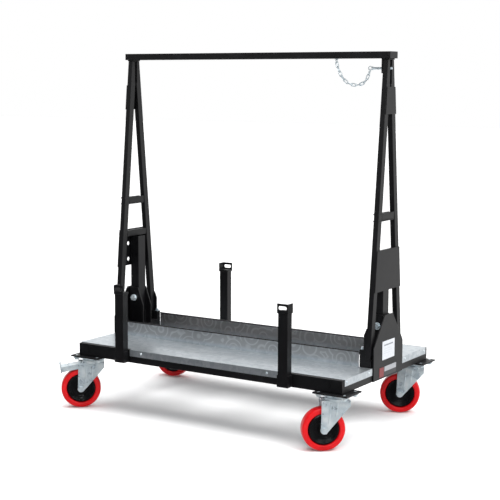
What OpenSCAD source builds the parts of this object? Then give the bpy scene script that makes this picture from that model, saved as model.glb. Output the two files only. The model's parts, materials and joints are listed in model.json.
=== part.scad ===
/* [Base frame] */
// Length of the base frame over its end rails
frame_l = 1206; // [1000:1:1400]
// Width of the base frame over its side rails
frame_w = 704; // [600:1:800]
// Height of the deck above the ground
deck_z = 269; // [260:1:290]
// Height of every base rail
rail_h = 50; // [40:1:60]
// Width of a side rail
side_rail_w = 40; // [30:1:50]
// Width of an end rail
end_rail_w = 50; // [40:1:60]
// Wall of the box sections
tube_wall = 3; // [2:0.5:4]

/* [Trays] */
// Sheet thickness of the galvanised trays
tray_t = 2; // [1.5:0.5:3]
// Height of the upright wall of a tray
tray_wall_h = 56; // [40:1:80]
// Distance from the middle to the outer face of a tray wall
tray_wall_y = 121; // [100:1:128]
// Half length of a tray wall
tray_wall_x = 547; // [500:1:547]
// Depth of the folded lip over the rails
lip_h = 26; // [15:1:35]

/* [A-frames] */
// Underside of the top bar
bar_z = 1403; // [1300:1:1500]
// Inner face of an A-frame, from the middle
frame_x = 577; // [570:1:580]
// Thickness of a leg along the trolley
leg_t = 20; // [15:1:25]
// Width of a leg across the trolley
leg_w = 28; // [24:1:34]
// Half width of an A-frame at the bar
leg_top_y = 23; // [20:1:30]
// Half width of an A-frame at the deck
leg_foot_y = 133; // [120:1:134]
// Width of the upright tube in an A-frame
mast_w = 46; // [40:1:50]

/* [Top bar] */
// Length of the top bar
bar_l = 1216; // [1180:1:1300]
// Width of the top bar
bar_w = 60; // [50:1:70]
// Height of the top bar
bar_h = 25; // [20:1:30]

/* [Posts] */
// Distance of a post from the middle
post_x = 374; // [300:1:450]
// Width of a post
post_w = 40; // [30:1:50]
// Depth of a post
post_d = 30; // [25:1:40]
// Top of a post cap above the ground
post_top = 528; // [450:1:600]

/* [Castors] */
// Wheel diameter
wheel_d = 160; // [150:1:165]
// Wheel width
wheel_w = 48; // [40:1:50]
// Swivel axis from the middle, along the trolley
castor_x = 562; // [540:1:570]
// Swivel axis from the middle, across the trolley
castor_y = 315; // [300:1:315]
// Offset of the wheel axle behind the swivel axis
trail = 50; // [40:1:60]

/* [Hidden] */

$fn = 48;
SATIN_BLACK = [0.10, 0.10, 0.11];
GALVANISED = [0.72, 0.75, 0.77];
ZINC = [0.78, 0.80, 0.82];
RED = [0.86, 0.08, 0.10];
HUB_BLACK = [0.07, 0.07, 0.08];

half_l = frame_l / 2;
half_w = frame_w / 2;
rail_bottom = deck_z - rail_h;
leg_bottom = deck_z + 32;
plate_t = 5;
lip_x = post_x - post_w / 2 - 9;
clamp_r = 8;
leg_slope = (leg_foot_y - leg_top_y) / (bar_z - deck_z);

// Heights in this file are from a datum 5 mm under the floor that the wheels stand on
floor_z = 5;
axle_z = floor_z + wheel_d / 2;
pad_t = 6;
top_plate_t = 5;
top_plate_z = rail_bottom - pad_t - top_plate_t;
race_gap = 0.3;
race_split = top_plate_z - 8;
crown_z = top_plate_z - 24;
crown_t = 6;
kingpin_r = 8;
axle_r = 8;
running_fit = 0.05;
bolt_pitch_x = 105;
bolt_pitch_y = 80;
cheek_y = wheel_w / 2 + 5;
cheek_t = 4;
hinge_x = -4;
hinge_r = 3;

// Each castor is stored turned a little: name order near left, near right, far left, far right
castor_turn = [40, 40, 10, 24];
castor_sign = [[-1, -1], [1, -1], [-1, 1], [1, 1]];

// The turned wheels reach further out than the pads on the right and the posts on the far side,
// so everything is moved until the origin is under the middle of the whole object
pad_l = 142;
reach_x = (trail + wheel_d / 2 - 1) * cos(castor_turn[2]) + (wheel_w / 2 - 8) * sin(castor_turn[2]);
pedal_tilt = 10;
pedal_reach = trail - hinge_x + 80 * cos(pedal_tilt) + 22 * sin(pedal_tilt);
reach_y = castor_y + pedal_reach * sin(castor_turn[0]) + 27.5 * cos(castor_turn[0]);
post_reach = frame_w / 2 + 0.3 + post_d + 3;
origin_shift = [(reach_x - pad_l / 2) / 2, (reach_y - post_reach) / 2, -floor_z];

module in_row() {
    translate(origin_shift) children();
}

// Half width of an A-frame at height z
function leg_y(z) = leg_top_y + leg_slope * (bar_z - z);

// A box section along X, its outline given across Y and Z
module tube_x(l, w, h) {
    rotate([90, 0, 90])
        linear_extrude(l, center = true)
            difference() {
                square([w, h], center = true);
                square([w - 2 * tube_wall, h - 2 * tube_wall], center = true);
            }
}

module side_rail(side) {
    color(SATIN_BLACK) in_row()
        translate([0, side * (half_w - side_rail_w / 2), deck_z - rail_h / 2])
            tube_x(frame_l - 2 * end_rail_w - 1, side_rail_w, rail_h);
}

module end_rail(end) {
    color(SATIN_BLACK) in_row()
        translate([end * (half_l - end_rail_w / 2), 0, deck_z - rail_h / 2])
            union() {
                rotate([0, 0, 90]) tube_x(frame_w - 4, end_rail_w, rail_h);
                for (side = [-1, 1])
                    translate([0, side * (half_w - 2), 0])
                        cube([end_rail_w, 4, rail_h], center = true);
            }
}

module cross_members() {
    color(SATIN_BLACK) in_row()
        for (x = [-330, 0, 330])
            translate([x, 0, deck_z - rail_h / 2])
                rotate([0, 0, 90]) tube_x(frame_w - 2 * side_rail_w - 1, 40, rail_h - 10);
}

// One tray: a floor, an upright wall, a lip over the side rail between the posts and a lip
// over each end rail beside the end plate
module tray(side) {
    rim = 14;
    lip_from = tray_wall_y + 4;
    lip_to = half_w - rim - 2;
    color(GALVANISED) in_row()
        union() {
            difference() {
                translate([-half_l, side > 0 ? tray_wall_y : -half_w, deck_z])
                    cube([frame_l, half_w - tray_wall_y, tray_t]);
                for (end = [-1, 1]) {
                    // The A-frame foot stands in a notch at each end
                    translate([end * 577, side * 120, deck_z]) cube([62, 10, 20], center = true);
                    // Past the posts the floor stops short and leaves the rail bare
                    translate([end * (lip_x + frame_l / 2), side * half_w, deck_z])
                        cube([frame_l, 2 * rim, 20], center = true);
                }
            }
            translate([-tray_wall_x, side * tray_wall_y - tray_t / 2, deck_z])
                cube([2 * tray_wall_x, tray_t, tray_wall_h]);
            translate([-lip_x, side * (half_w + tray_t / 2) - tray_t / 2, deck_z + tray_t - lip_h])
                cube([2 * lip_x, tray_t, lip_h]);
            for (end = [-1, 1])
                translate([end * (half_l + tray_t / 2),
                           side * (lip_from + lip_to) / 2,
                           deck_z + tray_t - lip_h / 2])
                    cube([tray_t, lip_to - lip_from, lip_h], center = true);
        }
}

module tray_rivets() {
    color(ZINC) in_row() {
        for (side = [-1, 1], x = [-290, 290])
            translate([x, side * (half_w + tray_t), deck_z - 10])
                rotate([-90 * side, 0, 0]) cylinder(h = 2, r1 = 5, r2 = 3);
        for (end = [-1, 1], y = [-320, -150, 150, 320])
            translate([end * (half_l + tray_t), y, deck_z - 10])
                rotate([0, 90 * end, 0]) cylinder(h = 2, r1 = 5, r2 = 3);
    }
}

// A thin black edge strip over the top of each tray wall
module tray_edge_trims() {
    color(SATIN_BLACK) in_row()
        for (side = [-1, 1])
            translate([-tray_wall_x, side * tray_wall_y - 2.5, deck_z + tray_wall_h])
                cube([2 * tray_wall_x, 5, 4]);
}

module end_plate(end) {
    foot = 121;
    head = 32;
    shoulder_z = 341;
    head_z = 457;
    color(SATIN_BLACK) in_row()
        translate([end > 0 ? half_l : -half_l - plate_t, 0, 0])
            rotate([90, 0, 90])
                linear_extrude(plate_t)
                    polygon([[-foot, rail_bottom], [foot, rail_bottom], [foot, shoulder_z],
                             [head, head_z], [-head, head_z], [-foot, shoulder_z]]);
}

module white_label() {
    color("white") in_row() translate([half_l + plate_t, -52, 289]) cube([0.8, 100, 70]);
}

module lower_label() {
    color("white") in_row() translate([half_l + plate_t, -74, 226]) cube([0.8, 138, 36]);
}

// Foot of an A-frame: a crossbar on the deck, a block and an upright tab inside each leg, and
// two slanted cheeks that clasp the mast
module foot(end) {
    bar_top = leg_bottom - 0.2;
    bar_low = deck_z + 0.2;
    tab = [[566, bar_top - 1], [566, 392], [576.6, 418], [576.6, bar_top - 1]];
    cheek = [[526, bar_top - 1], [526, 383], [553, 455], [596, 455], [596, bar_top - 1]];
    color(SATIN_BLACK) in_row()
        difference() {
            union() {
                translate([end * 573.5, 0, (bar_low + bar_top) / 2])
                    cube([49, 244, bar_top - bar_low], center = true);
                translate([end * 537, 0, bar_top - 4]) cube([26, 64, 8], center = true);
                for (side = [-1, 1]) {
                    translate([end * 562.8, side * 111, (bar_low + 336) / 2])
                        cube([27.6, 22, 336 - bar_low], center = true);
                    translate([0, side * 119 + 3, 0]) foot_plate(end, tab, 6);
                    translate([0, side * (mast_w / 2 + 3.3) + 3, 0]) foot_plate(end, cheek, 6);
                }
            }
            translate([end * 573, 0, 412]) rotate([90, 0, 0]) cylinder(h = 90, r = clamp_r, center = true);
        }
}

// A plate in the XZ plane, its outline given for the right-hand end
module foot_plate(end, outline, t) {
    rotate([90, 0, 0])
        linear_extrude(t)
            polygon([for (p = outline) [end * p[0], p[1]]]);
}

// Two slanting legs, parted at the top by a slot for the pin
module legs(end) {
    x0 = end > 0 ? frame_x : -frame_x - leg_t;
    top = bar_z - 5;
    color(SATIN_BLACK) in_row()
        difference() {
            for (side = [-1, 1])
                translate([x0, 0, 0])
                    rotate([90, 0, 90])
                        linear_extrude(leg_t)
                            polygon([for (p = [[leg_y(leg_bottom), leg_bottom], [leg_y(top), top],
                                               [max(leg_y(top) - leg_w, 0), top],
                                               [max(leg_y(1345) - leg_w, 0), 1345],
                                               [leg_y(leg_bottom) - leg_w, leg_bottom]])
                                     [side * p[0], p[1]]]);
            translate([end * (frame_x + leg_t / 2), 0, 1360]) cube([leg_t + 2, 14, 100], center = true);
        }
}

// Two welded cross rungs and the head pad under the bar
module rungs(end) {
    color(SATIN_BLACK) in_row() {
        for (z = [823, 686])
            translate([end * (frame_x + leg_t / 2), 0, z])
                cube([leg_t - 2, 2 * (leg_y(z + 12.5) - leg_w) - 1, 25], center = true);
        translate([end * (frame_x + leg_t / 2), 0, bar_z - 2.5]) cube([leg_t + 6, 50, 4.8], center = true);
    }
}

// Outer plates welded across the legs, following their slant
module plates(end) {
    x0 = end > 0 ? frame_x + leg_t : -frame_x - leg_t - 4;
    color(SATIN_BLACK) in_row()
        for (span = [[1200, 1300], [548, 702]])
            translate([x0, 0, 0])
                rotate([90, 0, 90])
                    linear_extrude(4)
                        difference() {
                            polygon([[-leg_y(span[0]), span[0]], [leg_y(span[0]), span[0]],
                                     [leg_y(span[1]), span[1]], [-leg_y(span[1]), span[1]]]);
                            if (span[0] < 600 && end < 0)
                                for (y = [-34, 34], z = [575, 641]) translate([y, z]) circle(8);
                        }
}

module mast(end) {
    color(SATIN_BLACK) in_row()
        difference() {
            translate([end * 573, 0, (leg_bottom + 673) / 2])
                rotate([0, 90, 0]) tube_x(673 - leg_bottom - 0.4, mast_w, 40);
            translate([end * 573, 0, 412]) rotate([90, 0, 0]) cylinder(h = 90, r = clamp_r, center = true);
        }
}

// A hexagon head or nut on the Y axis
module hex_y(r, t) {
    rotate([90, 0, 0]) cylinder(h = t, r = r, center = true, $fn = 6);
}

module clamp_bolts() {
    color(ZINC) in_row()
        for (end = [-1, 1]) {
            translate([end * 573, 0, 412]) {
                rotate([90, 0, 0]) cylinder(h = 66, r = clamp_r - 0.1, center = true);
                for (side = [-1, 1]) {
                    translate([0, side * 30.5, 0]) rotate([90, 0, 0])
                        cylinder(h = 2.2, r = 14, center = true);
                    translate([0, side * 36.2, 0]) hex_y(12, 9);
                }
            }
            for (side = [-1, 1])
                translate([end * 557, side * 111, 336.2]) {
                    cylinder(h = 2, r = 8);
                    cylinder(h = 9, r = 6.5, $fn = 6);
                }
        }
}

module top_bar() {
    color(SATIN_BLACK) in_row()
        difference() {
            union() {
                translate([0, 0, bar_z + bar_h / 2]) tube_x(bar_l - 6, bar_w, bar_h);
                // Lug that the pin passes through
                translate([568, 0, bar_z - 27]) cube([6, 30, 54], center = true);
            }
            translate([568, 0, 1367]) rotate([0, 90, 0]) cylinder(h = 20, r = 4.55, center = true);
        }
}

module bar_end_caps() {
    color(SATIN_BLACK) in_row()
        for (end = [-1, 1])
            translate([end * (bar_l / 2 - 1.5), 0, bar_z + bar_h / 2]) cube([3, bar_w, bar_h], center = true);
    color(ZINC) in_row()
        for (end = [-1, 1])
            translate([end * 598, -bar_w / 2, bar_z + 14]) rotate([90, 0, 0])
                cylinder(h = 1.5, r1 = 4, r2 = 3);
}

module chain_eye() {
    color(ZINC) in_row() {
        translate([370, 0, bar_z - 3]) cylinder(h = 3, r = 7);
        translate([370, 0, bar_z - 10]) rotate([0, 90, 0]) rotate_extrude() translate([6, 0])
            circle(1.6, $fn = 24);
    }
}

// Where the links of the hanging chain meet, as X and Z, chosen by hand
chain_joints = [[370, 1389], [375, 1372], [382, 1355], [391, 1339], [403, 1325], [418, 1313], [435, 1307],
                [453, 1305], [470, 1307], [486, 1314], [498, 1327], [506, 1344], [511, 1362]];
wire_r = 1.6;

// One welded link lying along X: two half rings joined by straight wires
module link(pitch) {
    reach = pitch / 2 + wire_r - 4.6;
    for (end = [-1, 1]) {
        translate([end * reach, 0, 0]) rotate([0, 0, -end * 90]) rotate_extrude(angle = 180, $fn = 32)
            translate([4.6, 0]) circle(wire_r, $fn = 16);
        translate([0, end * 4.6, 0]) rotate([0, 90, 0])
            cylinder(h = 2 * reach, r = wire_r, center = true, $fn = 16);
    }
}

module chain() {
    color(ZINC) in_row()
        for (i = [0 : len(chain_joints) - 2]) {
            a = chain_joints[i];
            b = chain_joints[i + 1];
            translate([(a[0] + b[0]) / 2, 0, (a[1] + b[1]) / 2])
                rotate([0, -atan2(b[1] - a[1], b[0] - a[0]), 0])
                    rotate([(i + 1) % 2 * 90, 0, 0]) link(norm(b - a));
        }
}

module locking_pin() {
    color(ZINC) in_row() {
        translate([522, 0, 1367]) rotate([0, 90, 0]) cylinder(h = 79, r = 4.5);
        translate([520, 0, 1367]) rotate([0, 90, 0]) cylinder(h = 3, r = 7);
        translate([512, 0, 1367]) rotate([90, 0, 0]) rotate_extrude() translate([7, 0]) circle(1.6, $fn = 24);
    }
}

// Four pockets welded to the side rails: two side plates, a floor and a low front strap
module post_sockets() {
    gap_w = post_w + 0.6;
    gap_d = post_d + 0.6;
    z0 = rail_bottom + 2;
    color(SATIN_BLACK) in_row()
        for (sx = [-1, 1], side = [-1, 1])
            translate([sx * post_x, side * half_w, 0]) {
                for (x = [-1, 1])
                    translate([x * (gap_w / 2 + 1.5), side * gap_d / 2, z0 + 22])
                        cube([3, gap_d, 44], center = true);
                translate([0, side * (gap_d / 2 + 0.75), z0 + 1])
                    cube([gap_w + 6, gap_d + 1.5, 2], center = true);
                translate([0, side * (gap_d + 0.75), z0 + 8]) cube([gap_w + 6, 1.5, 16], center = true);
            }
}

// A post, with a wider hand bracket on top: an outward plate with a rounded slot, a plate on the
// side towards the trolley's end, and a collar
module post(sx, side) {
    cap_h = 36;
    cap_w = post_w + 6;
    cap_d = post_d + 6;
    cap_t = 3;
    foot_z = rail_bottom + 4.3;
    collar_h = 8;
    color(SATIN_BLACK) in_row()
        translate([sx * post_x, side * (half_w + 0.3 + post_d / 2), 0])
            union() {
                translate([-post_w / 2, -post_d / 2, foot_z])
                    cube([post_w, post_d, post_top - cap_h + 1 - foot_z]);
                translate([0, 0, post_top - cap_h + collar_h / 2])
                    cube([cap_w, cap_d, collar_h], center = true);
                translate([0, side * (cap_d - cap_t) / 2, post_top - cap_h / 2])
                    difference() {
                        cube([cap_w, cap_t, cap_h], center = true);
                        translate([0, 0, 2]) hand_slot();
                    }
                translate([sx * (cap_w - cap_t) / 2, 0, post_top - cap_h / 2])
                    cube([cap_t, cap_d, cap_h], center = true);
            }
}

// A slot with round ends, along Y
module hand_slot() {
    rotate([90, 0, 0])
        linear_extrude(20, center = true)
            union() {
                square([20, 14], center = true);
                for (x = [-10, 10]) translate([x, 0]) circle(7);
            }
}

module at_castor(i) {
    translate([castor_sign[i][0] * castor_x, castor_sign[i][1] * castor_y, 0]) children();
}

// Four holes of a castor's plate, on its centre
module bolt_holes(r, h) {
    for (x = [-1, 1], y = [-1, 1])
        translate([x * bolt_pitch_x / 2, y * bolt_pitch_y / 2, 0]) cylinder(h = h, r = r, center = true);
}

module castor_pads() {
    color(SATIN_BLACK) in_row()
        for (i = [0 : 3])
            at_castor(i)
                translate([0, 0, rail_bottom - pad_t / 2])
                    difference() {
                        cube([pad_l, 112, pad_t], center = true);
                        bolt_holes(5.5, 20);
                    }
}

module castor_bolts() {
    color(ZINC) in_row()
        for (i = [0 : 3], x = [-1, 1], y = [-1, 1])
            at_castor(i)
                translate([x * bolt_pitch_x / 2, y * bolt_pitch_y / 2, top_plate_z]) {
                    cylinder(h = pad_t + top_plate_t - 0.2, r = 5);
                    translate([0, 0, -2]) cylinder(h = 2, r = 11);
                    translate([0, 0, -8]) cylinder(h = 6, r = 9, $fn = 6);
                }
}

// Fixed half of the swivel head: plate, upper race and kingpin with its nut
module top_plate(i) {
    color(ZINC) in_row()
        at_castor(i)
            difference() {
                union() {
                    translate([0, 0, top_plate_z + top_plate_t / 2])
                        cube([122, 96, top_plate_t], center = true);
                    translate([0, 0, race_split]) cylinder(h = top_plate_z - race_split, r = 38);
                    translate([0, 0, crown_z - 6]) cylinder(h = top_plate_z - crown_z + 6, r = kingpin_r);
                    translate([0, 0, crown_z - 8]) cylinder(h = 8 - race_gap, r = 13, $fn = 6);
                }
                translate([0, 0, top_plate_z]) bolt_holes(5.5, 20);
            }
}

// Outline of one fork cheek, as X and Z from the axle
module cheek_outline() {
    top = crown_z - axle_z + 8;
    difference() {
        union() {
            polygon([[-10, top], [trail + 44, top], [trail + 44, top - 20], [13, -6], [-13, -2]]);
            circle(14);
        }
        circle(axle_r + running_fit);
        translate([hinge_x, crown_z + 1 - axle_z]) circle(hinge_r + running_fit);
    }
}

// Turning half of the swivel head: lower race, crown and two cheeks with pressed ribs
module fork(i) {
    color(ZINC) in_row()
        at_castor(i)
            rotate([0, 0, castor_turn[i]])
                difference() {
                    union() {
                        translate([0, 0, crown_z + crown_t])
                            cylinder(h = race_split - race_gap - crown_z - crown_t, r = 43);
                        translate([-1, 0, crown_z + crown_t / 2])
                            cube([90, 2 * (cheek_y + cheek_t), crown_t], center = true);
                        for (side = [-1, 1]) {
                            translate([-trail, side * (cheek_y + cheek_t / 2) + cheek_t / 2, axle_z])
                                rotate([90, 0, 0]) linear_extrude(cheek_t) cheek_outline();
                            for (rib = [[16, 26], [42, 50]])
                                translate([rib[0] - trail, side * (cheek_y + cheek_t - 3.5), axle_z + rib[1]])
                                    rotate([0, 5, 0]) cylinder(h = crown_z - axle_z - rib[1], r = 5);
                        }
                    }
                    cylinder(h = 400, r = kingpin_r + running_fit);
                }
}

// Axle bolt with a spacer tube, washers, head and nut
module axle(i) {
    color(ZINC) in_row()
        at_castor(i)
            rotate([0, 0, castor_turn[i]])
                translate([-trail, 0, axle_z]) {
                    rotate([90, 0, 0]) cylinder(h = 2 * (cheek_y + cheek_t) + 14, r = axle_r, center = true);
                    for (side = [-1, 1]) {
                        translate([0, side * (cheek_y + cheek_t + 1.5), 0]) rotate([90, 0, 0])
                            cylinder(h = 3, r = 12, center = true);
                        translate([0, side * (cheek_y + cheek_t + 7), 0]) hex_y(12, 8);
                        translate([0, side * (cheek_y - 1.5), 0]) rotate([90, 0, 0])
                            cylinder(h = 3, r = 12, center = true);
                    }
                }
}

// Black moulded wheel centre with a deep dish on each face
module hub(i) {
    face = wheel_w / 2;
    color(HUB_BLACK) in_row()
        at_castor(i)
            rotate([0, 0, castor_turn[i]])
                translate([-trail, 0, axle_z])
                    rotate([90, 0, 0])
                        rotate_extrude($fn = 96)
                            polygon([[axle_r + running_fit, -face - 1.5], [19, -face - 1.5],
                                     [23, -face + 5], [42, -face + 12],
                                     [47, -face + 6], [55, -face + 3], [57, -face + 6],
                                     [57, face - 6], [55, face - 3], [47, face - 6],
                                     [42, face - 12], [23, face - 5],
                                     [19, face + 1.5], [axle_r + running_fit, face + 1.5]]);
}

module tyre(i) {
    face = wheel_w / 2;
    r = wheel_d / 2;
    color(RED) in_row()
        at_castor(i)
            rotate([0, 0, castor_turn[i]])
                translate([-trail, 0, axle_z])
                    rotate([90, 0, 0])
                        rotate_extrude($fn = 96)
                            polygon([[57, -face + 5], [60, -face + 1], [r - 9, -face],
                                     [r - 3.5, -face + 3], [r - 1, -face + 8],
                                     [r, -8], [r, 8],
                                     [r - 1, face - 8], [r - 3.5, face - 3],
                                     [r - 9, face], [60, face - 1], [57, face - 5]]);
}

// Foot pedal of the brake, on a hinge pin between the fork cheeks: a tread with a deep flange down
// each side of the tyre and a tall upright end to step on
module pedal(i) {
    color(ZINC) in_row()
        at_castor(i)
            rotate([0, 0, castor_turn[i]])
                translate([hinge_x - trail, 0, crown_z + 1]) {
                    rotate([90, 0, 0]) cylinder(h = 2 * cheek_y - 0.6, r = 5.5, center = true);
                    rotate([90, 0, 0]) cylinder(h = 2 * (cheek_y + cheek_t) + 2, r = hinge_r, center = true);
                    rotate([0, -pedal_tilt, 0]) {
                        translate([-40, 0, 1]) cube([78, 54, 3], center = true);
                        translate([-78, 0, 0]) cube([4, 55, 44], center = true);
                        for (side = [-1, 1])
                            translate([-39, side * 26.5, -8]) cube([76, 2, 20], center = true);
                    }
                }
}

side_rail(-1);  // near_side_rail
side_rail(1);  // far_side_rail
end_rail(-1);  // left_end_rail
end_rail(1);  // right_end_rail
cross_members();
tray(-1);  // near_tray
tray(1);  // far_tray
tray_rivets();
tray_edge_trims();
end_plate(-1);  // left_end_plate
end_plate(1);  // right_end_plate
white_label();
lower_label();
foot(-1);  // left_foot
foot(1);  // right_foot
legs(-1);  // left_legs
legs(1);  // right_legs
rungs(-1);  // left_rungs
rungs(1);  // right_rungs
plates(-1);  // left_plates
plates(1);  // right_plates
mast(-1);  // left_mast
mast(1);  // right_mast
clamp_bolts();
top_bar();
bar_end_caps();
chain_eye();
chain();
locking_pin();
post_sockets();
post(-1, -1);  // near_left_post
post(1, -1);  // near_right_post
post(-1, 1);  // far_left_post
post(1, 1);  // far_right_post
castor_pads();
castor_bolts();
top_plate(0);  // near_left_top_plate
top_plate(1);  // near_right_top_plate
top_plate(2);  // far_left_top_plate
top_plate(3);  // far_right_top_plate
fork(0);  // near_left_fork
fork(1);  // near_right_fork
fork(2);  // far_left_fork
fork(3);  // far_right_fork
axle(0);  // near_left_axle
axle(1);  // near_right_axle
axle(2);  // far_left_axle
axle(3);  // far_right_axle
hub(0);  // near_left_hub
hub(1);  // near_right_hub
hub(2);  // far_left_hub
hub(3);  // far_right_hub
tyre(0);  // near_left_tyre
tyre(1);  // near_right_tyre
tyre(2);  // far_left_tyre
tyre(3);  // far_right_tyre
pedal(0);  // near_left_pedal
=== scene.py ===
"""Looks of a board trolley around its CAD frame: materials, smooth wheels, chain, welds, light and
camera."""
import json

import bpy
import numpy as np
from mathutils import Matrix, Vector


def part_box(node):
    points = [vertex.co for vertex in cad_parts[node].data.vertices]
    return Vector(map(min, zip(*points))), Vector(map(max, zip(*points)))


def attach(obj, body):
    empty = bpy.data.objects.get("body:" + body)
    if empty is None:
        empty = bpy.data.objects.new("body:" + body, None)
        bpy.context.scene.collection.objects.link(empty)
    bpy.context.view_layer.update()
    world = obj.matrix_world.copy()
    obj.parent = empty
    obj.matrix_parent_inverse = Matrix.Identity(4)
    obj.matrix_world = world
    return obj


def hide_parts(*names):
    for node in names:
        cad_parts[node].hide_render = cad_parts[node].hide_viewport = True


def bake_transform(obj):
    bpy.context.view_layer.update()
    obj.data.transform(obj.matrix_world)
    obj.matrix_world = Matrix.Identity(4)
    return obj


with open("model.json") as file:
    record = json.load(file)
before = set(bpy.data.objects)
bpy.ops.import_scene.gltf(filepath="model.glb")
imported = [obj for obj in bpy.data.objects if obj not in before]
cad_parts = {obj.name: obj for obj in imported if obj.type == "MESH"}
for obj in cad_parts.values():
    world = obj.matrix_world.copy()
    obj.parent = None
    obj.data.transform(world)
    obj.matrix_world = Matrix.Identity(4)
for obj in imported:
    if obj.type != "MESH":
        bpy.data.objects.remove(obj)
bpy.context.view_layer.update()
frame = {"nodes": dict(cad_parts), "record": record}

MM = 0.001
TRAY_WALL_HEIGHT = 0.056
TRAY_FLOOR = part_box("near_tray")[1].z - TRAY_WALL_HEIGHT
CORNERS = ("near_left", "near_right", "far_left", "far_right")


# ---------------------------------------------------------------- camera

# The middle of the bed, which isn't the origin: the turned castors reach further out on one side
rail_lo, rail_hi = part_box("near_side_rail")
BED_X = (rail_lo.x + rail_hi.x) / 2
BED_Y = (rail_lo.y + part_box("far_side_rail")[1].y) / 2

# The view: where the eye stands from the middle of the bed, and how it looks
EYE_ALONG = 2.7034
EYE_ACROSS = -4.2379
EYE_HEIGHT = 1.3110
HEADING = np.radians(122.648)
DIP = np.radians(7.514)
ROLL = np.radians(0.232)
LENS_MM = 91.82
SENSOR_MM = 36.0
SIGHT_LIMIT = 60.0


def make_camera():
    """The camera's axes are its right, its up and its back, from heading, dip and roll."""
    ahead = np.array([np.cos(HEADING) * np.cos(DIP), np.sin(HEADING) * np.cos(DIP), -np.sin(DIP)])
    level = np.array([np.sin(HEADING), -np.cos(HEADING), 0.0])
    lift = np.cross(level, ahead)
    right = np.cos(ROLL) * level + np.sin(ROLL) * lift
    up = np.cos(ROLL) * lift - np.sin(ROLL) * level
    data = bpy.data.cameras.new("camera")
    data.lens = LENS_MM
    data.sensor_width = SENSOR_MM
    data.clip_end = SIGHT_LIMIT
    camera = bpy.data.objects.new("camera", data)
    bpy.context.collection.objects.link(camera)
    turn = Matrix([list(row) for row in np.array([right, up, -ahead]).T]).to_4x4()
    eye = Vector((BED_X + EYE_ALONG, BED_Y + EYE_ACROSS, EYE_HEIGHT))
    camera.matrix_world = Matrix.Translation(eye) @ turn
    bpy.context.scene.camera = camera


make_camera()


# ---------------------------------------------------------------- material tools

def linear(hex_colour):
    """An sRGB hex colour as opaque linear values."""
    parts = [int(hex_colour[i:i + 2], 16) / 255 for i in (1, 3, 5)]
    curve = [c / 12.92 if c <= 0.04045 else ((c + 0.055) / 1.055) ** 2.4 for c in parts]
    return tuple(curve) + (1.0,)


def node(tree, kind, settings=None, **inputs):
    """Adds a node. Settings are its properties. Inputs are values, or sockets to link from, and go
    by name or by number, as in i0."""
    made = tree.nodes.new(kind)
    for key, value in (settings or {}).items():
        setattr(made, key, value)
    for key, value in inputs.items():
        numbered = key[1:].isdigit()
        socket = made.inputs[int(key[1:])] if numbered else made.inputs[key.replace("_", " ")]
        if isinstance(value, bpy.types.NodeSocket):
            tree.links.new(value, socket)
        else:
            socket.default_value = value
    return made


def new_material(name, **shader_inputs):
    """A Principled material, its tree, its shader and its Object coordinates in metres."""
    material = bpy.data.materials.new(name)
    material.use_nodes = True
    tree = material.node_tree
    shader = tree.nodes["Principled BSDF"]
    for key, value in shader_inputs.items():
        shader.inputs[key.replace("_", " ")].default_value = value
    place = tree.nodes.new("ShaderNodeTexCoord").outputs["Object"]
    return material, tree, shader, place


def ramp(tree, factor, stops):
    """A colour ramp from (position, colour) stops. A colour is a hex string or linear values."""
    made = node(tree, "ShaderNodeValToRGB", i0=factor)
    elements = made.color_ramp.elements
    while len(elements) < len(stops):
        elements.new(0.5)
    for element, (position, colour) in zip(elements, stops):
        element.position = position
        element.color = linear(colour) if isinstance(colour, str) else colour
    return made.outputs["Color"]


def per_mm(size):
    """Texture scale, on coordinates in metres, for a pattern that repeats every size mm."""
    return 1000.0 / size


def noise(tree, place, size, detail, **more):
    """Soft noise, 0 to 1, in patches about so many millimetres across."""
    return node(tree, "ShaderNodeTexNoise", Vector=place, Scale=per_mm(size), Detail=detail,
                **more).outputs[0]


def math(tree, operation, *values):
    """One arithmetic step on one or two values."""
    inputs = {"i%d" % place: value for place, value in enumerate(values)}
    return node(tree, "ShaderNodeMath", {"operation": operation}, **inputs).outputs[0]


def remap(tree, value, start, stop, low=0.0, high=1.0):
    """Maps start..stop to low..high, and holds the ends beyond them."""
    return node(tree, "ShaderNodeMapRange", i0=value, i1=start, i2=stop, i3=low, i4=high).outputs[0]


def mix(tree, factor, first, second):
    """The first colour where the factor is 0 and the second where it is 1."""
    return node(tree, "ShaderNodeMix", {"data_type": "RGBA"}, i0=factor, i6=first,
                i7=second).outputs[2]


def coat(tree, shader, colour, pattern, smoothest, roughest):
    """Gives the shader a colour, and a roughness that follows a pattern."""
    tree.links.new(colour, shader.inputs["Base Color"])
    tree.links.new(remap(tree, pattern, 0.0, 1.0, smoothest, roughest), shader.inputs["Roughness"])


def bump(tree, shader, height, distance_mm, strength, under=None):
    """A bump of so many millimetres, over another bump where one is given."""
    made = node(tree, "ShaderNodeBump", Strength=strength, Distance=distance_mm * MM, Height=height)
    if under is not None:
        tree.links.new(under, made.inputs["Normal"])
    tree.links.new(made.outputs[0], shader.inputs["Normal"])
    return made.outputs[0]


# ---------------------------------------------------------------- materials

def black_powder_coat():
    """Polyester powder coat on steel, sprayed and baked: a soft sheen and a fine orange peel."""
    material, tree, shader, place = new_material("black_powder_coat", Specular_IOR_Level=0.32)
    # Orange peel is about 1 mm across; it is drawn at 2.5 mm so that it shows
    peel = noise(tree, place, 2.5, 2.0)
    # Handling marks: soft patches a hand wide
    rub = noise(tree, place, 90, 5.0, Roughness=0.65)
    colour = ramp(tree, rub, [(0.32, "#070709"), (0.55, "#0b0b0d"), (0.75, "#131417")])
    coat(tree, shader, colour, rub, 0.33, 0.52)
    bump(tree, shader, peel, 0.06, 0.6)
    return material


# The buffed rings and the painted wall shade are on the upright walls: they fade in between these
# heights over the tray floor
WALL_SHADE_AND_RINGS_START = 0.010
WALL_SHADE_AND_RINGS_FULL = 0.022
# Radians of the ring pattern across one 70 mm cell: about four rings, 17 mm apart
RING_RADIANS = 26.0
RING_STRENGTH = 0.42


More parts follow.
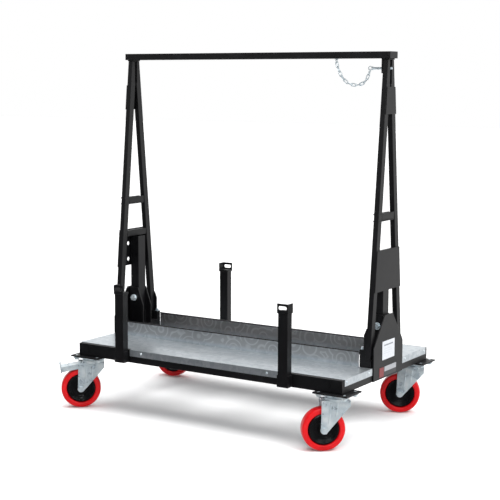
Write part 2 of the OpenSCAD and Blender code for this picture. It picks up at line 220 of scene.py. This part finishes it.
def galvanised_sheet():
    """Hot-dip galvanised sheet: zinc crystals, each of its own tone, a gentle waviness, streaks
    from the rolls, and pale buffed rings on the walls. Painted shade: the upright walls are a
    flat darker grey than the tray floor."""
    material, tree, shader, place = new_material("galvanised_sheet", Metallic=0.9)
    # Spangle is 8 to 20 mm across
    warp = node(tree, "ShaderNodeTexNoise", Vector=place, Scale=per_mm(12), Detail=3.0).outputs[1]
    bent = node(tree, "ShaderNodeMix", {"data_type": "VECTOR"}, i0=0.006, i4=place,
                i5=warp).outputs[1]
    crystal = node(tree, "ShaderNodeTexVoronoi", Vector=bent, Scale=per_mm(15)).outputs["Color"]
    shade = node(tree, "ShaderNodeSeparateColor", i0=crystal)
    spangle = ramp(tree, shade.outputs[0], [(0.0, "#b9c1c6"), (0.5, "#c3cacf"), (1.0, "#ced4d8")])
    # Streaks left by the rolls run along the sheet, a finger wide and a hand or two long
    drawn = node(tree, "ShaderNodeMapping", i0=place, i3=(0.12, 1.0, 1.0)).outputs[0]
    streak = noise(tree, drawn, 28, 5.0, Roughness=0.6)
    # The sheet is slightly wavy, in swells a hand wide
    swell = noise(tree, place, 120, 6.0, Roughness=0.6, Distortion=1.5)
    # The rings go out from scattered centres
    reach = node(tree, "ShaderNodeTexVoronoi", Vector=place, Scale=per_mm(70)).outputs["Distance"]
    wave = math(tree, "SINE", math(tree, "MULTIPLY", reach, RING_RADIANS))
    rings = remap(tree, wave, 0.2, 1.0, 0.0, RING_STRENGTH)
    height = node(tree, "ShaderNodeSeparateXYZ", i0=place).outputs[2]
    wall_shade_and_rings_mask = remap(tree, height, TRAY_FLOOR + WALL_SHADE_AND_RINGS_START, TRAY_FLOOR + WALL_SHADE_AND_RINGS_FULL)
    # Painted shade: the walls get a flat darker grey in place of the spangle, standing in for the
    # shade and dark reflections they take
    painted_shade_wall = mix(tree, wall_shade_and_rings_mask, spangle, linear("#b0b2b4"))
    marked = mix(tree, math(tree, "MULTIPLY", wall_shade_and_rings_mask, rings), painted_shade_wall, linear("#e6eaec"))
    coat(tree, shader, marked, streak, 0.24, 0.46)
    waviness = bump(tree, shader, swell, 0.15, 0.25)
    bump(tree, shader, shade.outputs[2], 0.01, 0.3, waviness)
    return material


def bright_zinc_plate():
    """Pressed steel, electroplated with zinc and passivated: bright, a little blue and cloudy."""
    material, tree, shader, place = new_material("bright_zinc_plate", Metallic=0.5)
    cloud = noise(tree, place, 30, 4.0)
    grain = noise(tree, place, 1.2, 2.0)
    colour = ramp(tree, cloud, [(0.3, "#a9b6be"), (0.5, "#c3ced3"), (0.72, "#dbe2e4")])
    coat(tree, shader, colour, cloud, 0.22, 0.36)
    bump(tree, shader, grain, 0.015, 0.5)
    return material


def red_polyurethane():
    """Cast polyurethane tyre: a saturated red with a soft, slightly uneven shine."""
    material, tree, shader, place = new_material("red_polyurethane", IOR=1.5,
                                                 Specular_IOR_Level=0.3)
    cloud = noise(tree, place, 45, 4.0)
    grain = noise(tree, place, 1.5, 2.0)
    colour = ramp(tree, cloud, [(0.3, "#b80008"), (0.6, "#c8000a"), (0.8, "#d2040e")])
    coat(tree, shader, colour, cloud, 0.28, 0.44)
    bump(tree, shader, grain, 0.03, 0.4)
    return material


def black_nylon():
    """Nylon injected into a polished mould: near black and glossy, with a trace of grain."""
    material, tree, shader, place = new_material("black_nylon", IOR=1.53)
    grain = node(tree, "ShaderNodeTexVoronoi", Vector=place, Scale=per_mm(1.4)).outputs["Distance"]
    cloud = noise(tree, place, 35, 3.0)
    colour = ramp(tree, cloud, [(0.3, "#040405"), (0.75, "#09090b")])
    coat(tree, shader, colour, cloud, 0.16, 0.30)
    bump(tree, shader, grain, 0.01, 0.3)
    return material


def black_edge_rubber():
    """Extruded rubber edging: matt, with a fine grain."""
    material, tree, shader, place = new_material("black_edge_rubber", IOR=1.52)
    grain = noise(tree, place, 3, 3.0)
    colour = ramp(tree, grain, [(0.3, "#101012"), (0.7, "#1d1e20")])
    coat(tree, shader, colour, grain, 0.6, 0.8)
    bump(tree, shader, grain, 0.05, 0.5)
    return material


# What is printed on a label: its film's two shades, then patches as (across, upward, colour), where
# the spans are shares of the label's size and may run past its edges
DARK_LABEL = (("#161618", "#222225"),
              (((-1.0, 0.26), (-1.0, 2.0), "#6e161a"),
               ((0.30, 2.0), (0.48, 2.0), "#909296")))
PALE_LABEL = (("#b9bcc1", "#c6c9ce"),
              (((0.14, 0.86), (0.74, 0.81), "#6c7178"),
               ((0.14, 0.70), (0.56, 0.59), "#b0b4b9"),
               ((0.14, 0.78), (0.44, 0.47), "#b0b4b9"),
               ((0.14, 0.62), (0.32, 0.35), "#b0b4b9")))


def between(tree, value, low, high):
    """One where the value lies between low and high, and nought elsewhere."""
    above = math(tree, "GREATER_THAN", value, low)
    below = math(tree, "LESS_THAN", value, high)
    return math(tree, "MULTIPLY", above, below)


def printed_label(name, lo, hi, design):
    """Vinyl label across Y and Z, without words: a film with plain patches on it."""
    material, tree, shader, place = new_material(name, Roughness=0.35, Coat_Weight=0.1,
                                                 Coat_Roughness=0.2)
    parts = node(tree, "ShaderNodeSeparateXYZ", i0=place)
    across = remap(tree, parts.outputs[1], lo.y, hi.y)
    upward = remap(tree, parts.outputs[2], lo.z, hi.z)
    (darker, lighter), patches = design
    colour = ramp(tree, noise(tree, place, 8, 3.0), [(0.3, darker), (0.7, lighter)])
    for (left, right), (low, high), shade in patches:
        patch = math(tree, "MULTIPLY", between(tree, across, left, right),
                     between(tree, upward, low, high))
        colour = mix(tree, patch, colour, linear(shade))
    tree.links.new(colour, shader.inputs["Base Color"])
    return material


BLACK = black_powder_coat()
GALVANISED = galvanised_sheet()
ZINC = bright_zinc_plate()
RED = red_polyurethane()
NYLON = black_nylon()
EDGING = black_edge_rubber()
FINISH_OF_SLOT = {"black_powder": BLACK, "galvanised": GALVANISED, "zinc_plate": ZINC,
                  "red_tyre": RED, "black_hub": NYLON, "edge_trim": EDGING}

# How far the edges of each slot's pieces are rounded, and what counts as an edge
EDGE_RADIUS_MM = {"black_powder": 1.6, "galvanised": 0.5, "zinc_plate": 0.7, "edge_trim": 0.8}
SHARP_EDGE = np.radians(40)
MERGE_REACH = 0.00001


def paint(piece, material):
    """Gives a piece one material."""
    piece.data.materials.clear()
    piece.data.materials.append(material)


def round_edges(piece, radius_mm):
    """Rounds a piece's sharp edges, as a folded or sawn edge is."""
    weld = piece.modifiers.new("weld", "WELD")
    weld.merge_threshold = MERGE_REACH
    edge = piece.modifiers.new("edge", "BEVEL")
    edge.width = radius_mm * MM
    edge.segments = 2
    edge.limit_method = "ANGLE"
    edge.angle_limit = SHARP_EDGE
    edge.harden_normals = True


def dress_cad_nodes():
    """Each CAD node gets its slot's finish, and rounded edges where its slot has a radius. The
    forks' edges stay as they are, because rounding would smear their shallow pressed ribs."""
    slots = {row["node"]: row["material_slot"] for row in frame["record"]["subparts"]}
    for name, piece in frame["nodes"].items():
        slot = slots[name]
        if slot == "label":
            lo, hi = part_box(name)
            design = DARK_LABEL if name == "lower_label" else PALE_LABEL
            paint(piece, printed_label(name + "_film", lo, hi, design))
            continue
        paint(piece, FINISH_OF_SLOT[slot])
        if slot in EDGE_RADIUS_MM and not name.endswith("_fork"):
            round_edges(piece, EDGE_RADIUS_MM[slot])


dress_cad_nodes()


# ---------------------------------------------------------------- surface tools

def mesh_piece(name, points, faces, material, body):
    """Makes a smooth piece from points in metres and faces, riding on a body where one is given."""
    mesh = bpy.data.meshes.new(name)
    mesh.from_pydata(points.tolist(), [], faces.tolist())
    mesh.polygons.foreach_set("use_smooth", np.full(len(mesh.polygons), True))
    mesh.update()
    piece = bpy.data.objects.new(name, mesh)
    bpy.context.collection.objects.link(piece)
    mesh.materials.append(material)
    if body:
        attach(piece, body)
    return piece


def grid_faces(rows, cols, offset=0, closed=True):
    """Quads of a grid that closes on itself across, and from last row to first where closed."""
    i, j = np.meshgrid(np.arange(rows if closed else rows - 1), np.arange(cols), indexing="ij")
    down = (i + 1) % rows
    along = (j + 1) % cols
    corners = [i * cols + j, i * cols + along, down * cols + along, down * cols + j]
    return np.stack(corners, axis=-1).reshape(-1, 4) + offset


# An axis whose upward part is at least this counts as upright
UPRIGHT = 0.99


def ring_frame(axis):
    """An axis as a unit vector, and two unit vectors square to it."""
    axis = np.array(axis, float) / np.linalg.norm(axis)
    if abs(axis[2]) >= UPRIGHT:
        return axis, np.array([1.0, 0, 0]), np.array([0, 1.0, 0])
    side = np.cross(axis, [0.0, 0.0, 1.0])
    side /= np.linalg.norm(side)
    return axis, side, np.cross(side, axis)


def turned(profile, centre, axis, steps):
    """A closed outline of (radius, along the axis) points carried round the axis, in metres."""
    axis, side, up = ring_frame(axis)
    angle = np.linspace(0, 2 * np.pi, steps, endpoint=False)[:, None, None]
    radius = profile[None, :, 0, None]
    along = profile[None, :, 1, None]
    points = centre + radius * (np.cos(angle) * side + np.sin(angle) * up) + along * axis
    return points.reshape(-1, 3), grid_faces(steps, len(profile))


# ---------------------------------------------------------------- wheels

WHEEL_R = 79.85 * MM
TYRE_HALF = 24 * MM
TREAD_R = 57 * MM
# The outline is squarer the smaller this is; 1 would be an ellipse
TYRE_SQUARENESS = 0.42
TYRE_CROWN = 1.2 * MM
MOULD_LINE_DEPTH = 0.35 * MM
MOULD_LINE_HALF = 1.2 * MM
# The outside of the tyre, as a share of its half thickness, that carries the mould line
MOULD_LINE_FROM = 0.8
# How many points an outline has, and how many steps each piece takes round its axle
TYRE_OUTLINE_POINTS = 96
TYRE_STEPS = 160
HUB_STEPS = 192

# The wheel centre's face: (radius, how far it stands out from the middle), from bore to rim
HUB_FACE_MM = np.array([[9, 25.2], [18.4, 25.2], [20.5, 23], [22.5, 11], [31, 11], [32.5, 13],
                        [40.5, 13], [42, 16], [46.5, 16], [48.5, 20.8], [53.5, 21], [55, 20],
                        [57.2, 18]])


def wheel_axis(name):
    """The wheel's centre and the direction of its axle, from the joint that it rolls on."""
    joints = frame["record"]["behaviour"]["joints"]
    joint = next(j for j in joints if j["name"] == name + "_roll")
    return np.array(joint["pos_m"]), np.array(joint["axis"])


def tyre_outline():
    """A rounded rectangle of powers of sine and cosine, crowned a little and with a fine mould line
    in the middle."""
    a = np.linspace(0, 2 * np.pi, TYRE_OUTLINE_POINTS, endpoint=False)
    middle = (WHEEL_R + TREAD_R) / 2
    reach = (WHEEL_R - TREAD_R) / 2
    radius = middle + reach * np.sign(np.cos(a)) * np.abs(np.cos(a)) ** TYRE_SQUARENESS
    along = TYRE_HALF * np.sign(np.sin(a)) * np.abs(np.sin(a)) ** TYRE_SQUARENESS
    outside = np.clip((radius - middle) / reach, 0, 1)
    radius = radius - outside * TYRE_CROWN * (along / TYRE_HALF) ** 2
    line = np.exp(-(along / MOULD_LINE_HALF) ** 2) * (outside > MOULD_LINE_FROM)
    radius = radius - MOULD_LINE_DEPTH * line
    return np.stack([radius, along], axis=-1)


# Where the rings of the wheel centre lie, as (from, to, count): the bore's collar, the dish and
# the rim, with more rings where the face turns sharply
HUB_RINGS_MM = ((9, 19, 5), (20, 47, 40), (47.5, 57.2, 16))


def hub_outline():
    """Both faces of the wheel centre as one closed outline, in steps from the bore to the rim."""
    radii = np.concatenate([np.linspace(a * MM, b * MM, count) for a, b, count in HUB_RINGS_MM])
    depth = np.interp(radii, HUB_FACE_MM[:, 0] * MM, HUB_FACE_MM[:, 1] * MM)
    return np.stack([np.append(radii, radii[::-1]), np.append(depth, -depth[::-1])], axis=-1)


for corner in CORNERS:
    centre, axis = wheel_axis(corner)
    body = corner + "_wheel"
    points, faces = turned(tyre_outline(), centre, axis, TYRE_STEPS)
    tyre = mesh_piece(corner + "_tyre_moulding", points, faces, RED, body)
    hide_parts(corner + "_tyre")
    points, faces = turned(hub_outline(), centre, axis, HUB_STEPS)
    hub = mesh_piece(corner + "_hub_moulding", points, faces, NYLON, body)
    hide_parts(corner + "_hub")


# ---------------------------------------------------------------- chain

# Where the hanging links meet, along from the middle of the bed and up from the ground, in
# millimetres: the route of the CAD chain
CHAIN_JOINTS = np.array([[370, 1384], [375, 1367], [382, 1350], [391, 1334], [403, 1320],
                         [418, 1308], [435, 1302], [453, 1300], [470, 1302], [486, 1309],
                         [498, 1322], [506, 1339], [511, 1357]], float)
WIRE_R = 1.9
WIRE_SIDES = 12
LINK_HALF_W = 4.6
LINK_STEPS = 48
# The link's weld: how much thicker the wire is there, and how far it reaches along the wire
LINK_WELD_SWELL = 0.16
LINK_WELD_REACH = 0.12


def link_wire(reach):
    """A round wire carried along a stadium, in millimetres: two straight runs joined by half
    circles, with a weld that swells the wire in the middle of one run."""
    t = np.linspace(0, 2 * np.pi, LINK_STEPS, endpoint=False)
    along = np.clip(np.cos(t) * 3, -1, 1) * reach + LINK_HALF_W * np.cos(t)
    across = LINK_HALF_W * np.sin(t)
    path = np.stack([along, across, np.zeros_like(t)], axis=-1)
    ahead = np.roll(path, -1, axis=0) - np.roll(path, 1, axis=0)
    ahead /= np.linalg.norm(ahead, axis=1, keepdims=True)
    up = np.array([0, 0, 1.0])
    out = np.cross(ahead, up)
    u = np.linspace(0, 2 * np.pi, WIRE_SIDES, endpoint=False)[None, :, None]
    weld = np.exp(-((np.abs(t - np.pi / 2)) / LINK_WELD_REACH) ** 2)
    radius = WIRE_R * (1 + LINK_WELD_SWELL * weld)[:, None, None]
    ring = path[:, None, :] + radius * (np.cos(u) * out[:, None, :] + np.sin(u) * up)
    return ring.reshape(-1, 3)


def chain_links():
    """All the links along the route. Every other link is turned a quarter round its length."""
    points = []
    faces = []
    for i, (a, b) in enumerate(zip(CHAIN_JOINTS, CHAIN_JOINTS[1:])):
        pitch = np.linalg.norm(b - a)
        local = link_wire(pitch / 2 + WIRE_R - LINK_HALF_W)
        if i % 2 == 0:
            local = local[:, [0, 2, 1]] * np.array([1, -1, 1])
        direction = np.array([(b - a)[0], 0, (b - a)[1]]) / pitch
        normal = np.array([-direction[2], 0, direction[0]])
        middle = np.array([(a + b)[0] / 2, 0, (a + b)[1] / 2])
        points.append(middle + local[:, :1] * direction
                      + local[:, 1:2] * np.array([0, 1.0, 0]) + local[:, 2:3] * normal)
        faces.append(grid_faces(LINK_STEPS, WIRE_SIDES, i * LINK_STEPS * WIRE_SIDES))
    whole = np.concatenate(points) * MM + np.array([BED_X, BED_Y, 0])
    return whole, np.concatenate(faces)


points, faces = chain_links()
chain = mesh_piece("chain_links", points, faces, ZINC, None)
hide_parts("chain")
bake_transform(chain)


# ---------------------------------------------------------------- welds

# The bead: its radius, its sides and spacing, how it tapers at its ends and how its back ripples
BEAD_R = 2.2 * MM
BEAD_SIDES = 10
BEAD_STEP = 0.8 * MM
BEAD_TAPER = 2 * MM
BEAD_TIP = 0.02
BEAD_MIN_RINGS = 8
BEAD_RIPPLE = 0.14
BEAD_RIPPLE_PITCH = 3.2 * MM

# Where the beads go, in metres: the height of the foot's crossbar, which the mast stands on, how far
# a bead climbs the mast, the upper rung's reach as a share of the lower one's, and the heights of
# the upper rung's two seams
FOOT_DECK = 0.032
MAST_BEAD_HEIGHT = 0.05
RUNG_BEAD_SHARE = 0.78
RUNG_BEAD_HEIGHTS = (0.8055, 0.8305)


def weld_bead(start, end):
    """A bead along a straight seam: a half-sunk rope whose radius ripples along its length."""
    start = np.array(start, float)
    end = np.array(end, float)
    length = np.linalg.norm(end - start)
    rings = max(int(length / BEAD_STEP), BEAD_MIN_RINGS)
    t = np.linspace(0, 1, rings)
    taper = np.clip(np.minimum(t, 1 - t) * length / BEAD_TAPER, BEAD_TIP, 1)
    ripple = 1 + BEAD_RIPPLE * np.abs(np.sin(t * length / BEAD_RIPPLE_PITCH * np.pi))
    radius = (BEAD_R * taper * ripple)[:, None, None]
    side, up = ring_frame(end - start)[1:]
    a = np.linspace(0, 2 * np.pi, BEAD_SIDES, endpoint=False)[None, :, None]
    points = start + t[:, None, None] * (end - start) + radius * (np.cos(a) * side + np.sin(a) * up)
    return points.reshape(-1, 3), grid_faces(rings, BEAD_SIDES, closed=False)


def weld_seams():
    """Where the beads go: round the masts on their feet, and along the upper rungs, reaching as far
    to both sides of the origin."""
    seams = []
    for end in ("left", "right"):
        legs_lo, legs_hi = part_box(end + "_legs")
        mast_lo, mast_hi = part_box(end + "_mast")
        face = mast_hi.x if end == "left" else mast_lo.x
        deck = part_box(end + "_foot")[0].z + FOOT_DECK
        for y in (mast_lo.y, mast_hi.y):
            seams.append(((face, y, deck), (face, y, deck + MAST_BEAD_HEIGHT)))
        seams.append(((face, mast_lo.y, deck), (face, mast_hi.y, deck)))
        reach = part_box(end + "_rungs")[1].y * RUNG_BEAD_SHARE
        for x in (legs_lo.x, legs_hi.x):
            for height in RUNG_BEAD_HEIGHTS:
                seams.append(((x, -reach, height), (x, reach, height)))
    return seams


def make_welds():
    """All the beads as one piece."""
    points = []
    faces = []
    total = 0
    for start, end in weld_seams():
        some, quads = weld_bead(start, end)
        points.append(some)
        faces.append(quads + total)
        total += len(some)
    mesh_piece("weld_beads", np.concatenate(points), np.concatenate(faces), BLACK, "trolley")


make_welds()


# ---------------------------------------------------------------- floor, light

FLOOR_REACH = 30.0
MIDDLE = (BED_X, BED_Y, 0.6)
LOW_MIDDLE = (BED_X, BED_Y, 0.2)


def area_light(name, place, aim, size, power):
    """A square soft box at a place, aimed at a point, with its power in watts."""
    data = bpy.data.lights.new(name, "AREA")
    data.size = size
    data.energy = power
    light = bpy.data.objects.new(name, data)
    light.location = place
    aim_line = Vector(aim) - Vector(place)
    light.rotation_euler = aim_line.to_track_quat("-Z", "Y").to_euler()
    bpy.context.collection.objects.link(light)


def pale_floor():
    """A large pale matt sheet under the wheels."""
    material, _, shader, _ = new_material("pale_floor", Roughness=0.9)
    shader.inputs["Base Color"].default_value = linear("#f4f4f4")
    mesh = bpy.data.meshes.new("floor")
    r = FLOOR_REACH
    mesh.from_pydata([(-r, -r, 0), (r, -r, 0), (r, r, 0), (-r, r, 0)], [], [(0, 1, 2, 3)])
    mesh.materials.append(material)
    floor = bpy.data.objects.new("floor", mesh)
    bpy.context.collection.objects.link(floor)
    floor.visible_glossy = False


def overhead_light():
    """A very wide light from straight above, even over the whole floor."""
    data = bpy.data.lights.new("overhead", "SUN")
    data.energy = 2.9
    data.angle = np.radians(48)
    bpy.context.collection.objects.link(bpy.data.objects.new("overhead", data))


def studio_world():
    """A pale studio behind the trolley and a dark one in front of it: brightness goes by
    direction."""
    world = bpy.data.worlds.new("world")
    world.use_nodes = True
    tree = world.node_tree
    direction = tree.nodes.new("ShaderNodeTexCoord").outputs["Generated"]
    across = node(tree, "ShaderNodeSeparateXYZ", i0=direction).outputs[1]
    shade = ramp(tree, remap(tree, across, -1.0, 1.0),
                 [(0.0, (0.05, 0.05, 0.055, 1)), (0.35, (0.18, 0.18, 0.19, 1)),
                  (0.6, (0.75, 0.75, 0.76, 1)), (0.8, (1, 1, 1, 1))])
    tree.links.new(shade, tree.nodes["Background"].inputs[0])
    bpy.context.scene.world = world


pale_floor()
area_light("key", (3.4, -0.6, 3.4), MIDDLE, 2.4, 110)
area_light("fill", (-2.6, -4.2, 2.6), MIDDLE, 3.0, 20)
area_light("front", (2.8, -4.6, 3.2), LOW_MIDDLE, 2.0, 130)
overhead_light()
studio_world()
bpy.context.scene.view_settings.view_transform = "Standard"
